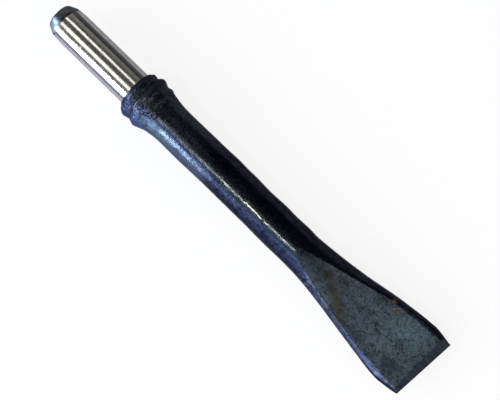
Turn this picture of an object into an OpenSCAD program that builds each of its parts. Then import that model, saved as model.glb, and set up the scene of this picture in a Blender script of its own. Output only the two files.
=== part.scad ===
// Chisel bit for a pick hammer: one steel forging, drawn zone by zone.
// The axis lies along X. The collar's seat is at X = 0, the shank runs towards -X,
// the blade towards +X, and +Z is square to the blade's upper face.

/* [Shank] */
// Diameter of the ground shank
shank_d = 24; // [18:0.5:27]
// Length from the struck face to the collar's seat
shank_len = 70; // [50:1:110]
// Length of the dark, coned end that is left unground
cone_len = 6; // [3:0.5:12]
// Diameter of the flat struck face
struck_d = 19.2; // [12:0.2:21]
// Radius on the rim of the struck face
rim_round = 1; // [0.4:0.1:1.4]
// Length over which the ground part runs up to its full diameter
lead_len = 6; // [2:0.5:12]
// How far the ground part starts below its full radius
lead_step = 0.4; // [0.1:0.1:1]

/* [Collar] */
// Diameter over the crests of the collar
collar_d = 34; // [31:0.5:42]
// Height of the rolls above the collar's mean surface
roll_h = 0.9; // [0.2:0.1:1.6]
// Width of the flat seat round the shank
seat_w = 1.7; // [0.8:0.1:2]
// Thickness of the seat ring
seat_t = 1.2; // [0.8:0.1:2]
// Length over which the lip rounds up to the collar's full height
lip_round = 3; // [1.5:0.1:4]
// Distance from the seat to the middle of the lap fold
fold_x = 8; // [7:0.1:9]
// How far the fold wanders along the axis on its way round
fold_sway = 2.1; // [0:0.1:3]
// Depth of the fold
fold_depth = 1.3; // [0.2:0.1:1.8]
// Length of the second roll, past the fold
ring_len = 6.5; // [5:0.1:8]
// Distance from the seat to the end of the collar's shoulder
collar_len = 21; // [18:0.5:26]
// Length of the flare from the collar's shoulder to the bar
neck_len = 12; // [8:0.5:20]

/* [Bar] */
// Diameter of the forged bar
bar_d = 27.4; // [24:0.2:29]
// Height of the hammer's waves along the bar
hammer_wave = 0.15; // [0:0.05:0.4]

/* [Blade] */
// Length from the collar's seat to the cutting edge
working_len = 250; // [220:1:400]
// Length of the blade, from the tip of the arch to the cutting edge
blade_len = 106.5; // [80:0.5:140]
// Greatest width of the blade
blade_w = 49.2; // [40:0.2:70]
// Distance from the end of the blade's flare to the cutting edge
flare_back = 8; // [4:0.5:16]
// Distance from where the sides start to come in to the cutting edge
corner_back = 12; // [8:0.5:20]
// How far each side comes in by the corner
corner_in = 3.1; // [0:0.1:6]
// How far the bar's round would stand above the struck faces
crown = 3.5; // [2:0.1:6]

/* [Cutting edge] */
// Thickness of the blade where the bevel starts
bevel_t = 5.6; // [4:0.2:9]
// Length of the bevel along the axis
bevel_len = 4.5; // [3:0.1:8]
// Thickness left at the cutting edge
edge_t = 0.8; // [0.4:0.1:1.5]
// How far the edge runs out of square, from its middle to each corner
edge_skew = 1.5; // [0:0.1:2]

/* [Hidden] */

// Radii of the turned zones
shank_r = shank_d / 2;
lead_r = shank_r - lead_step;
struck_r = struck_d / 2;
seat_r = shank_r + seat_w;
bar_r = bar_d / 2;
// The seat ring widens a little towards the lip
seat_flare = 0.5;
seat_back_r = seat_r + seat_flare;
// Mean radius of the collar between its rolls
collar_r = collar_d / 2 - roll_h;

// Share of the blade that its root takes up
root_share = 0.42;

// Stations along the axis
lip_end = fold_x;
ring_end = fold_x + ring_len;
neck_end = collar_len + neck_len;
face_start = working_len - blade_len;
root_end = face_start + root_share * blade_len;
bevel_start = working_len - bevel_len;
flare_end = working_len - flare_back;
corner_start = working_len - corner_back;

// Half-width of each roll, its distance from the fold, and the fold's own half-width
roll_reach = 2.3;
roll_gap = 4.6;
fold_w = 0.9;
// How much of its sway the fold dips on both sides, and how much it wanders besides
fold_dip = 0.4;
fold_wander = 0.3;
// How much the rolls swell and shrink on their way round: slowly, and in short lumps
slow_swell = 0.25;
short_swell = 0.2;
// A small lump past the second roll: its height as a share of a roll's, and its distance from the fold
lump_share = 0.35;
lump_gap = 12;
// The collar's mean surface keeps its height up to here
fall_start = 10;

// Points round a section: two rounded sides and two struck faces
side_n = 26;
face_n = 4;
ring_n = 2 * (side_n + face_n);
// The faces start this narrow where they run out into the round bar
face_spread = 180 * face_n / ring_n;

// Lengths of the hammer's waves along the bar, and the length over which they fade
short_wave = 38;
long_wave = 68;
wave_fade = 12;

// How softly the blade's bulging sides leave the round bar
crown_blend = 0.5;

// Pitch of the sections along each zone
collar_pitch = 0.7;
neck_pitch = 1.6;
bar_pitch = 4;
blade_pitch = 3.4;
bevel_pitch = 1.5;

// Roundness of the turned zones
turned_fn = 96;

// Eases from 0 to 1 as u goes from 0 to 1
function ease(u) = let (v = min(1, max(0, u))) v * v * (3 - 2 * v);
// A bell of height 1 and half-width w round zero
function bell(d, w) = exp(-d * d / (w * w));
// The smaller of two values, with the corner rounded over r
function soft_min(a, b, r) = (a + b - sqrt((a - b) * (a - b) + r * r)) / 2;

// Where the lap fold runs: it leans one way and dips on both sides
function fold_at(q) = 
    fold_x - fold_sway * (cos(q) + fold_dip * cos(2 * q) - fold_wander * sin(3 * q - 40));

// Height of the two rolls beside the fold, of the small lump past them, and of the fold itself
function rolls(x, q) =
    let (
        d = x - fold_at(q),
        swell = 1 + slow_swell * sin(2 * q + 40) + short_swell * sin(5 * q + 75)
    )
    roll_h * swell * (bell(d + roll_gap, roll_reach) + bell(d - roll_gap, roll_reach))
    + lump_share * roll_h * cos(q - 20) * bell(d - lump_gap, roll_reach)
    - fold_depth * bell(d, fold_w);

// Two slanting waves that the hammer leaves on the bar, faded out towards both its ends
function hammer_waves(x, q) =
    hammer_wave * (sin(360 * x / short_wave + 2 * q) + sin(360 * x / long_wave - q))
    * ease((x - neck_end) / wave_fade) * ease((face_start - x) / wave_fade);

// Radius of the round part of the forging at station x and turn q
function forging_r(x, q) =
    let (
        fall = ease((x - fall_start) / (neck_end - fall_start)),
        full = bar_r + (collar_r - bar_r + rolls(x, q)) * (1 - fall) + hammer_waves(x, q),
        rise = max(0, 1 - max(0, x - seat_t) / lip_round)
    )
    seat_back_r + (full - seat_back_r) * sqrt(1 - rise * rise);

// Height of the struck face above the axis: a straight wedge, then the steeper bevel
function face_h(x) =
    x < bevel_start
    ? bar_r + (bevel_t / 2 - bar_r) * (x - face_start) / (bevel_start - face_start)
    : bevel_t / 2 + (edge_t - bevel_t) / 2 * (x - bevel_start) / bevel_len;

// How far the side has spread past the bar's radius
function spread(x) =
    (blade_w / 2 - bar_r) * ease((x - face_start) / (flare_end - face_start))
    - corner_in * pow(max(0, x - corner_start) / corner_back, 2);

// Half the height that the section would have without its struck faces
function crown_h(x) = x < face_start ? bar_r : soft_min(bar_r, face_h(x) + crown, crown_blend);

// Turn at which the rounded side ends and the struck face starts
function side_turn(x) =
    min(90 - face_spread, x < face_start ? 90 : asin(min(1, face_h(x) / crown_h(x))));

// Turn of point i, so that a point always lies on the crease between side and face
function point_turn(x, i) =
    let (k = i % (ring_n / 2), t = side_turn(x))
    (i < ring_n / 2 ? 0 : 180)
    + (k < side_n ? -t + 2 * t * k / side_n : t + (180 - 2 * t) * (k - side_n) / face_n);

// One point of the forging's surface
function surface_point(x, i) =
    let (
        q = point_turn(x, i),
        r = forging_r(x, q),
        y = (x < face_start ? r : r + spread(x)) * cos(q),
        z = x < face_start ? r * sin(q) : crown_h(x) * sin(q),
        h = x < face_start ? collar_d : face_h(x),
        skew = edge_skew * 2 * y / blade_w * max(0, x - bevel_start) / bevel_len
    )
    [x + skew, y, min(h, max(-h, z))];

// One point of a round core of the shank's radius
function core_point(x, i) = let (q = point_turn(x, i)) [x, shank_r * cos(q), shank_r * sin(q)];

// A length of the forging between two stations, closed by a flat face at each end.
// A core of the shank's radius can stand out of the first face.
module forged(x_from, x_to, pitch, core_len = 0) {
    steps = ceil((x_to - x_from) / pitch);
    stations = [for (s = [0:steps]) s == steps ? x_to : x_from + (x_to - x_from) * s / steps];
    core = core_len > 0 ? [for (x = [x_from - core_len, x_from], i = [0:ring_n - 1]) core_point(x, i)] : [];
    skin = concat(core, [for (x = stations, i = [0:ring_n - 1]) surface_point(x, i)]);
    ends = [[x_from - core_len, 0, 0], [x_to, 0, 0]];
    last = len(skin) - ring_n;
    wall = [
        for (row = [0:ring_n:last - 1], i = [0:ring_n - 1])
            let (a = row + i, b = row + (i + 1) % ring_n)
            each [[a, b, b + ring_n], [a, b + ring_n, a + ring_n]]
    ];
    start = [for (i = [0:ring_n - 1]) [len(skin), (i + 1) % ring_n, i]];
    end = [for (i = [0:ring_n - 1]) [len(skin) + 1, last + i, last + (i + 1) % ring_n]];
    polyhedron(points = concat(skin, ends), faces = concat(wall, start, end), convexity = 4);
}

// A turned length: the outline holds pairs of radius and distance from x_from
module turned(x_from, outline) {
    translate([x_from, 0, 0])
        rotate([0, 90, 0])
            rotate_extrude($fn = turned_fn)
                polygon(outline);
}

module striking_end() {
    slope = atan((lead_r - struck_r) / cone_len);
    rim = [for (a = [0:15:90 - slope]) [
        struck_r - rim_round * (1 - sin(a)),
        rim_round * (1 - cos(a))
    ]];
    color("#20242c")
        turned(-shank_len, concat([[0, 0]], rim, [[lead_r, cone_len], [0, cone_len]]));
}

module ground_shank() {
    length = shank_len - cone_len;
    color("#b9b4aa")
        turned(-length, [[0, 0], [lead_r, 0], [shank_r, lead_len], [shank_r, length], [0, length]]);
}

// The ring of the seat alone: the core inside it belongs to the lip
module collar_seat() {
    color("#262b33")
        turned(0, [[shank_r, 0], [seat_r, 0], [seat_back_r, seat_t], [shank_r, seat_t]]);
}

module collar_lip() {
    color("#2a303a") forged(seat_t, lip_end, collar_pitch, core_len = seat_t);
}

module collar_ring() {
    color("#252b35") forged(lip_end, ring_end, collar_pitch);
}

module collar_shoulder() {
    color("#2a303a") forged(ring_end, collar_len, collar_pitch);
}

module flared_neck() {
    color("#232a35") forged(collar_len, neck_end, neck_pitch);
}

module forged_shaft() {
    color("#1f2631") forged(neck_end, face_start, bar_pitch);
}

module blade_root() {
    color("#2b343f") forged(face_start, root_end, blade_pitch);
}

module spade_blade() {
    color("#36414b") forged(root_end, bevel_start, blade_pitch);
}

module cutting_bevel() {
    color("#151c28") forged(bevel_start, working_len, bevel_pitch);
}

striking_end();
ground_shank();
collar_seat();
collar_lip();
collar_ring();
collar_shoulder();
flared_neck();
forged_shaft();
blade_root();
spade_blade();
cutting_bevel();
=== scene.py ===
# %% [markdown]
# # A chisel bit for a pick hammer
#
# The bit is one bar of steel. A smith heats it, upsets a collar near one end, draws the
# other end out into a spade blade, and then grinds the shank that the hammer grips. This
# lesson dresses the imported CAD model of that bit: eleven zones along one axis, each of
# which gets a finer surface and its own finish.
#
# The axis lies along X. The collar's seat is at X = 0, the shank runs towards -X, the
# blade towards +X, and Z is square to the blade's upper face.

import math

import bpy
import numpy as np
from mathutils import Matrix, Vector


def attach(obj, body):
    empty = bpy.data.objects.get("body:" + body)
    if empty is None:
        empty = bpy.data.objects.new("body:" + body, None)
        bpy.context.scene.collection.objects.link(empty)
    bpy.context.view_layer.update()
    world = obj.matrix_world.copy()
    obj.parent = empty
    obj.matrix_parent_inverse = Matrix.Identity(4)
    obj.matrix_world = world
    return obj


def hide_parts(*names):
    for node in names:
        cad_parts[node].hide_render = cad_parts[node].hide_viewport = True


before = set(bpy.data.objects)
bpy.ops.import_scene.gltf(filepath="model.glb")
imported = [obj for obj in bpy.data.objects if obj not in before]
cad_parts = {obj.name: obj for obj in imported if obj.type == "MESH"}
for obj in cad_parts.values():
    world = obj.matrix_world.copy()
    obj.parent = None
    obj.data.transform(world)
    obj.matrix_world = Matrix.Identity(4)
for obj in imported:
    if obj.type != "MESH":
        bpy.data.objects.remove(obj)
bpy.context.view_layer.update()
MM = 0.001

# %% [markdown]
# ## The camera
#
# The photograph was taken from almost straight above, with the bit lying from the upper
# left to the lower right. A camera is three directions and a place: where its right side
# points, where its top points, and where its back points. Here the back leans a few
# degrees from Z, and the right side is the X axis turned inside the picture. Writing the
# three directions into a matrix puts the camera there exactly, which is easier to read
# than three rotation angles.

# %% Place the camera
LEAN_TO_BLADE = math.radians(7.795)
LEAN_TO_SIDE = math.radians(8.332)
TURN_IN_PICTURE = math.radians(44.164)
CAMERA_DISTANCE = 971.236 * MM
CAMERA_AIM = np.array([100.70, 0.326, 0.0]) * MM
FOCAL_PIXELS = 1560.4
PICTURE_WIDTH = 500
SENSOR_WIDTH = 36.0


def camera_directions():
    """Right, up and back of the camera. Back leans from Z towards the blade and one side;
    right and up are the X and Y axes made square to it, and turned by the picture's angle."""
    back = np.array([math.sin(LEAN_TO_BLADE), math.sin(LEAN_TO_SIDE), 0.0])
    back[2] = math.sqrt(1 - back @ back)
    along = np.array([1.0, 0.0, 0.0]) - back * back[0]
    along /= np.linalg.norm(along)
    across = np.cross(back, along)
    turn_cos, turn_sin = math.cos(TURN_IN_PICTURE), math.sin(TURN_IN_PICTURE)
    right = along * turn_cos + across * turn_sin
    up = -along * turn_sin + across * turn_cos
    return right, up, back


def into_scene(name, data):
    """A new object that shows the data, linked into the scene."""
    made = bpy.data.objects.new(name, data)
    bpy.context.scene.collection.objects.link(made)
    return made


def place_camera():
    """A long lens, so that the far shank is hardly smaller than the near blade."""
    lens = bpy.data.cameras.new("Camera")
    lens.sensor_width = SENSOR_WIDTH
    lens.lens = FOCAL_PIXELS / PICTURE_WIDTH * SENSOR_WIDTH
    camera = into_scene("Camera", lens)
    right, up, back = camera_directions()
    turned = np.eye(4)
    turned[:3, 0], turned[:3, 1], turned[:3, 2] = right, up, back
    turned[:3, 3] = CAMERA_AIM + back * CAMERA_DISTANCE
    camera.matrix_world = Matrix(turned.tolist())
    bpy.context.scene.camera = camera
    return camera


camera = place_camera()
bpy.context.scene.view_settings.view_transform = "Standard"
print("lens in mm:", round(camera.data.lens, 1))

# %% [markdown]
# ## Small tools for node trees
#
# Every material below is a tree of nodes. Short helpers keep the trees readable: one adds
# a node and fills its inputs, a few do arithmetic, one blends two colours and one eases a
# value from one range to another. An input takes either a plain value or a socket of
# another node, and a socket is wired.

# %% Helpers for nodes


def add_node(tree, kind, options=None, inputs=None):
    """Adds a node, sets its options, and gives each named input a value or a wire."""
    made = tree.nodes.new(kind)
    for name, value in (options or {}).items():
        setattr(made, name, value)
    for name, value in (inputs or {}).items():
        if isinstance(value, bpy.types.NodeSocket):
            tree.links.new(value, made.inputs[name])
        else:
            made.inputs[name].default_value = value
    return made


def calc(tree, operation, made, *others, clamp=False):
    """Math nodes in a row: the operation on the first value and the next, then on that and the one
    after. Only the last result is clamped."""
    for other in others or (None,):
        inputs = {0: made} if other is None else {0: made, 1: other}
        made = add_node(tree, "ShaderNodeMath", {"operation": operation}, inputs).outputs[0]
    made.node.use_clamp = clamp
    return made


def times(tree, *values, clamp=False):
    """The values multiplied together."""
    return calc(tree, "MULTIPLY", *values, clamp=clamp)


def plus(tree, *values, clamp=False):
    """The values added up."""
    return calc(tree, "ADD", *values, clamp=clamp)


def minus(tree, first, second):
    """The second value taken from the first."""
    return calc(tree, "SUBTRACT", first, second)


def blend(tree, share, first, second):
    """The first colour, blended towards the second by the share."""
    inputs = {0: share, 6: first, 7: second}
    return add_node(tree, "ShaderNodeMix", {"data_type": "RGBA"}, inputs).outputs[2]


def remap(tree, value, low, high, to_low=0.0, to_high=1.0):
    """The value, eased from to_low to to_high as it goes from low to high."""
    inputs = {"Value": value, "From Min": low, "From Max": high, "To Min": to_low, "To Max": to_high}
    return add_node(tree, "ShaderNodeMapRange", {"interpolation_type": "SMOOTHSTEP"}, inputs).outputs[0]


def new_group(name, inputs, outputs):
    """An empty node group with named sockets: returns its tree, input node and output node."""
    group = bpy.data.node_groups.new(name, "ShaderNodeTree")
    kinds = {float: "NodeSocketFloat", tuple: "NodeSocketVector", list: "NodeSocketColor"}
    for label, start in inputs.items():
        socket = group.interface.new_socket(label, in_out="INPUT", socket_type=kinds[type(start)])
        socket.default_value = start
    for label, kind in outputs.items():
        group.interface.new_socket(label, in_out="OUTPUT", socket_type=kinds[kind])
    return group, group.nodes.new("NodeGroupInput"), group.nodes.new("NodeGroupOutput")


def use_group(tree, group, inputs):
    """Places a node group in a tree and fills its inputs."""
    return add_node(tree, "ShaderNodeGroup", {"node_tree": group}, inputs).outputs


# %% [markdown]
# ## The table and the light
#
# The bit lies on a white table. It touches the table with the collar and with the bar
# just before the blade, so the table leans a degree and a half against the bit's axis.
# The table's white is partly its own colour, lit by the lamps, and partly a plain white
# that only the camera and reflections see, so the soft shadow stays, and stays pale.

# %% The table
TABLE_HALF = 7.0
TABLE_SLOPE = 0.0279
TABLE_X, TABLE_Z = 12.0 * MM, -17.15 * MM
TABLE_WHITE, TABLE_SELF_WHITE = 0.9, 0.85


def make_table():
    """One large square, tangent to the collar's crest and to the bar's underside."""
    material = bpy.data.materials.new("white_table")
    material.use_nodes = True
    tree = material.node_tree
    tree.nodes.clear()
    path = add_node(tree, "ShaderNodeLightPath").outputs
    seen = plus(tree, path["Is Camera Ray"], path["Is Glossy Ray"], path["Is Transmission Ray"], clamp=True)
    seen = times(tree, seen, TABLE_SELF_WHITE)
    matte = add_node(tree, "ShaderNodeBsdfDiffuse", inputs={"Color": (TABLE_WHITE,) * 3 + (1,)})
    plain = add_node(tree, "ShaderNodeEmission", inputs={"Color": (1, 1, 1, 1), "Strength": 1.0})
    both = add_node(tree, "ShaderNodeMixShader", inputs={0: seen, 1: matte.outputs[0], 2: plain.outputs[0]})
    add_node(tree, "ShaderNodeOutputMaterial", inputs={"Surface": both.outputs[0]})
    corners = np.array([[-1, -1], [1, -1], [1, 1], [-1, 1]]) * TABLE_HALF
    height = TABLE_Z + TABLE_SLOPE * (corners[:, :1] - TABLE_X)
    mesh = bpy.data.meshes.new("table")
    mesh.from_pydata(np.hstack([corners, height]).tolist(), [], [(0, 1, 2, 3)])
    mesh.materials.append(material)
    table = into_scene("table", mesh)


make_table()
print("the table leans by", round(math.degrees(math.atan(TABLE_SLOPE)), 1), "degrees")

# %% [markdown]
# Polished and oiled steel shows what stands round it, so the room matters as much as the
# lamps. The room here is a plain dome: dim overhead and at both sides, so that the round
# bar stays black, and pale towards both ends of the bit, which the bar never reflects but
# which light the table evenly. A thin pale band along the horizon backs the table.

# %% The room
ROOM_DIM = 0.07
ROOM_PALE = 0.95
BAND_LOW, BAND_HIGH = 0.075, 0.11
END_LOW, END_HIGH = 0.45, 0.80


def make_room():
    """The world's brightness: dim, rising to pale near the horizon and near the +X and -X ends."""
    world = bpy.data.worlds.new("room")
    world.use_nodes = True
    tree = world.node_tree
    tree.nodes.clear()
    direction = add_node(tree, "ShaderNodeTexCoord").outputs["Generated"]
    parts = add_node(tree, "ShaderNodeSeparateXYZ", inputs={0: direction}).outputs
    horizon = remap(tree, parts["Z"], BAND_LOW, BAND_HIGH, 1.0, 0.0)
    ends = remap(tree, calc(tree, "ABSOLUTE", parts["X"]), END_LOW, END_HIGH)
    pale = calc(tree, "MAXIMUM", horizon, ends)
    level = remap(tree, pale, 0.0, 1.0, ROOM_DIM, ROOM_PALE)
    back = add_node(tree, "ShaderNodeBackground", inputs={"Color": (1, 1, 1, 1), "Strength": level})
    add_node(tree, "ShaderNodeOutputWorld", inputs={"Surface": back.outputs[0]})
    bpy.context.scene.world = world


make_room()
print("room from", ROOM_DIM, "to", ROOM_PALE)

# %% [markdown]
# Soft lamps stand round the table. A tall window on the -Y side gives the broad pale band
# along the shank and the blue one along the bar. It hangs in five lengths, because its
# light falls off along the bit: it is brightest where the bar starts and faint by the
# blade. Two warmer strips hang almost overhead, one for the shank and one for the line on
# the bar's top. A small strip and a faint glow lean to the other side and show on the
# shank alone. Three fill lamps stand towards the ends, where the round bar doesn't mirror
# them, and light the table and the blade's face.

# %% The lamps
LAMP_DISTANCE = 2.0


def soft_lamp(name, width, height, brightness, tint):
    """A flat lamp that faces the bit. Its power is brightness times pi times its area, so the
    brightness is what a mirror would show."""
    data = bpy.data.lights.new(name, "AREA")
    data.shape = "RECTANGLE"
    data.size, data.size_y = width, height
    data.energy = brightness * math.pi * width * height
    data.color = tint
    lamp = into_scene(name, data)
    lamp.visible_camera = False
    return lamp


def lamp_across(name, angle, spread, x_from, x_to, brightness, tint):
    """A lamp that runs beside the bit: its angle from straight up towards -Y, the angle that it
    covers, and its reach along X."""
    height = LAMP_DISTANCE * math.radians(spread)
    lamp = soft_lamp(name, x_to - x_from, height, brightness, tint)
    lean = math.radians(angle)
    lamp.location = ((x_from + x_to) / 2, -LAMP_DISTANCE * math.sin(lean), LAMP_DISTANCE * math.cos(lean))
    lamp.rotation_euler = (lean, 0, 0)


def lamp_from(name, direction, side, brightness, tint):
    """A square fill lamp in a direction from the bit, turned to face it."""
    towards = Vector(direction).normalized()
    lamp = soft_lamp(name, side, side, brightness, tint)
    lamp.location = towards * LAMP_DISTANCE
    lamp.rotation_mode = "QUATERNION"
    lamp.rotation_quaternion = towards.to_track_quat("Z", "Y")


LAMPS_ACROSS = [
    # name, angle, spread, reach along X in m, brightness, tint
    ("window_shank", 68.5, 31, -1.10, -0.50, 6.2, (0.90, 0.95, 1.0)),
    ("window_bar", 62.5, 27, -0.50, -0.415, 22.5, (0.92, 0.99, 1.0)),
    ("window_mid", 66, 26, -0.41, -0.27, 3.2, (0.88, 0.94, 1.0)),
    ("window_side", 58, 60, -0.27, -0.02, 1.03, (0.60, 0.64, 1.0)),
    ("window_blade", 64, 44, -0.02, 0.90, 3.4, (0.70, 0.76, 1.0)),
    ("strip", 16.5, 19, -1.10, -0.47, 2.3, (1.0, 0.98, 0.92)),
    ("line", 18.0, 11, -0.26, 0.06, 10.5, (1.0, 0.99, 0.94)),
    ("small_strip", -30, 11, -1.15, -0.46, 2.3, (1.0, 0.98, 0.93)),
    ("glow", -66, 24, -1.15, -0.48, 0.19, (1.0, 0.97, 0.86)),
]
FILL_LAMPS = [
    # name, direction, side in m, brightness, tint
    ("fill_blade_far", (0.55, 0.50, 0.67), 0.9, 2.6, (1.0, 1.0, 1.0)),
    ("fill_blade_near", (0.55, -0.60, 0.58), 0.9, 2.5, (0.95, 0.97, 1.0)),
    ("fill_shank", (-0.74, -0.58, 0.38), 0.9, 8.0, (0.85, 0.93, 1.0)),
]
for settings in LAMPS_ACROSS:
    lamp_across(*settings)
for settings in FILL_LAMPS:
    lamp_from(*settings)

# %% [markdown]
# ## The shape of the forging
#
# The CAD model gives the forging a formula: at each station along X and each turn round
# the axis there is one point. The same formula is written here for whole arrays, and the
# dressed pieces are cut from that one surface, so neighbours meet without a step. All
# sizes are in millimetres, as on a workshop drawing. The struck end is worn rounder than
# the model's, the bar is a third of a millimetre slimmer and its waves are calmer, and the
# blade's corners come in sooner.

# %% Sizes, in millimetres
SHANK_R, SHANK_LEN = 12.0, 70.0
CONE_LEN, STRUCK_R, RIM_ROUND = 6.0, 9.2, 1.6
LEAD_LEN, LEAD_STEP = 7.5, 0.6
COLLAR_D, ROLL_H = 34.0, 0.9
SEAT_R, SEAT_BACK_R, SEAT_T = 13.7, 14.2, 1.2
LIP_ROUND, FALL_START = 3.0, 10.0
FOLD_X, FOLD_SWAY, FOLD_DEPTH, FOLD_W = 8.0, 2.1, 1.3, 0.9
ROLL_REACH, ROLL_GAP = 2.3, 4.6
LIP_END, RING_END, COLLAR_LEN, NECK_END = 8.0, 14.5, 21.0, 33.0
BAR_R, HAMMER_WAVE = 13.35, 0.15
SHORT_WAVE, LONG_WAVE, WAVE_FADE = 38, 68, 12
WORKING_LEN, FACE_START, ROOT_END, BEVEL_START = 250.0, 143.5, 188.23, 245.5
FLARE_END = 242.0
BLADE_W, CROWN, CROWN_BLEND = 49.2, 3.5, 0.5
BEVEL_T, BEVEL_LEN, EDGE_T, EDGE_SKEW = 5.6, 4.5, 0.8, 1.5
# a corner of the blade: where it starts to come in, how far it is in at the edge, and its power
NEAR_CORNER, FAR_CORNER = (233.5, 2.1, 1.25), (237.0, 2.4, 1.6)
COLLAR_R = COLLAR_D / 2 - ROLL_H
print("the blade's faces fall by", 2 * BAR_R - BEVEL_T, "mm over", BEVEL_START - FACE_START, "mm")

# %% [markdown]
# A few small curves do most of the work. An ease goes smoothly from 0 to 1, and a rise is
# the same between two stations on the bit. A bell rises and falls round a place, and a
# soft minimum follows the lower of two values without a kink where they cross. Round the
# axis, a distance is a turn, measured from a place in degrees.

# %% Curves


def ease(u):
    """0 below u = 0 and 1 above u = 1, with the cubic v * v * (3 - 2 * v) between them."""
    v = np.clip(u, 0.0, 1.0)
    return v * v * (3 - 2 * v)


def rise(x, start, end):
    """0 before the start and 1 past the end, eased between the two."""
    return ease((x - start) / (end - start))


def bell(distance, width):
    """A bell of height 1: e to the power of minus the squared distance over the width."""
    return np.exp(-((distance / width) ** 2))


def soft_min(a, b, width):
    """The smaller of a and b, with the corner between them rounded over the width."""
    return (a + b - np.sqrt((a - b) ** 2 + width**2)) / 2


def turn_past(q, place):
    """How far turn q lies past a place given in degrees: radians, between minus and plus half a turn."""
    return (q - math.radians(place) + np.pi) % (2 * np.pi) - np.pi


print("an ease at a quarter:", float(ease(0.25)), "and a bell at its width:", round(float(bell(1, 1)), 3))

# %% [markdown]
# The collar is steel that was squeezed up from the bar: two rolls with a lap fold between
# them. The fold wanders along the axis on its way round, and the rolls swell and shrink.

# %% The collar's rolls and fold


def fold_at(q):
    """Where the fold runs at turn q: it leans one way, dips on both sides and wanders a little."""
    sway = np.cos(q) + 0.4 * np.cos(2 * q) - 0.3 * np.sin(3 * q - math.radians(40))
    return FOLD_X - FOLD_SWAY * sway


def rolls(x, q):
    """Two bells beside the fold, a small lump past them, and the fold's own narrow bell taken away."""
    d = x - fold_at(q)
    swell = 1 + 0.25 * np.sin(2 * q + math.radians(40)) + 0.2 * np.sin(5 * q + math.radians(75))
    both = ROLL_H * swell * (bell(d + ROLL_GAP, ROLL_REACH) + bell(d - ROLL_GAP, ROLL_REACH))
    lump = 0.35 * ROLL_H * np.cos(q - math.radians(20)) * bell(d - 12.0, ROLL_REACH)
    return both + lump - FOLD_DEPTH * bell(d, FOLD_W)


def hammer_waves(x, q):
    """Two slanting sine waves along the bar, eased out towards both its ends. The upper -Y side
    was drawn out last and is nearly straight."""
    waves = np.sin(2 * np.pi * x / SHORT_WAVE + 2 * q) + np.sin(2 * np.pi * x / LONG_WAVE - q)
    straight = bell(turn_past(q, 125), math.radians(50))
    ends = ease((x - NECK_END) / WAVE_FADE) * ease((FACE_START - x) / WAVE_FADE)
    return HAMMER_WAVE * waves * ends * (1 - 0.85 * straight)


def forging_radius(x, q):
    """Radius of the round part: the collar falls to the bar, and the lip rises as a quarter circle."""
    fall = rise(x, FALL_START, NECK_END)
    full = BAR_R + (COLLAR_R - BAR_R + rolls(x, q)) * (1 - fall) + hammer_waves(x, q)
    left = np.maximum(0, 1 - np.maximum(0, x - SEAT_T) / LIP_ROUND)
    return SEAT_BACK_R + (full - SEAT_BACK_R) * np.sqrt(1 - left**2)


fold_range = fold_at(np.radians(np.arange(360)))
print("the fold wanders from", round(fold_range.min(), 1), "to", round(fold_range.max(), 1), "mm")


# %% [markdown]
# The blade starts as the round bar. The hammer strikes its top and bottom into two flat
# faces that lean together like a wedge, while the sides spread. So each section is an
# oval that bulges at its sides and is cut off flat above and below.

# %% The blade's section


def face_height(x):
    """Half the thickness between the faces: a straight wedge, then the steeper bevel."""
    wedge = BAR_R + (BEVEL_T / 2 - BAR_R) * (x - FACE_START) / (BEVEL_START - FACE_START)
    bevel = BEVEL_T / 2 + (EDGE_T - BEVEL_T) / 2 * (x - BEVEL_START) / BEVEL_LEN
    return np.where(x < BEVEL_START, wedge, bevel)


def corner_inset(x, start, inwards, power):
    """How far the side has come in past a corner's start: a power of the share of the way to the edge."""
    return inwards * (np.maximum(0, x - start) / (WORKING_LEN - start)) ** power


def side_spread(x, q):
    """How far a side stands past the bar's radius: it eases out, and comes in again at the corner,
    sooner and straighter on the -Y side."""
    out = (BLADE_W / 2 - BAR_R) * rise(x, FACE_START, FLARE_END)
    return out - np.where(np.cos(q) < 0, corner_inset(x, *NEAR_CORNER), corner_inset(x, *FAR_CORNER))


def crown_height(x):
    """Half the height that the oval would have without its flat faces."""
    return np.where(x < FACE_START, BAR_R, soft_min(BAR_R, face_height(x) + CROWN, CROWN_BLEND))


def crease_turn(x):
    """The turn, in radians, at which the bulging side ends and the flat face starts."""
    sine = np.clip(face_height(x) / crown_height(x), 0, 1)
    return np.minimum(math.radians(87), np.arcsin(sine))


def fullness(x, q):
    """How much squarer than an oval a side is: most on the +Y side, two thirds of the way down."""
    left = 0.34 * bell(x - 214, 27)
    right = 0.14 * rise(x, 170, 200) * (1 - rise(x, 212, 226)) - 0.15 * rise(x, 208, 232)
    return np.where(np.cos(q) > 0, left, right)


def forging_point(x, q):
    """The surface at station x and turn q, from +Y towards +Z: the round part, or the flattened
    oval, with the points near the edge shifted so that the edge runs slightly out of square."""
    blade = x >= FACE_START
    radius = forging_radius(x, q)
    wide = (radius + side_spread(x, q)) * (1 + fullness(x, q) * np.sin(q) ** 2)
    y = np.where(blade, wide, radius) * np.cos(q)
    z = np.where(blade, crown_height(x), radius) * np.sin(q)
    limit = np.where(blade, face_height(x), COLLAR_D)
    skew = EDGE_SKEW * 2 * y / BLADE_W * np.maximum(0, x - BEVEL_START) / BEVEL_LEN
    return np.stack([x + skew, y, np.clip(z, -limit, limit)], axis=-1)


print("the edge is", round(2 * float(face_height(WORKING_LEN)), 2), "mm thick")


# %% [markdown]
# A grid follows the surface from the collar to the edge. Its columns run along the bit.
# On the blade they gather so that one column always lies on each crease between side and
# face, because a crease that wanders across the squares of a grid looks sawn. On the bar
# the same columns spread out evenly, and between the two they shift over gradually.

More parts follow.
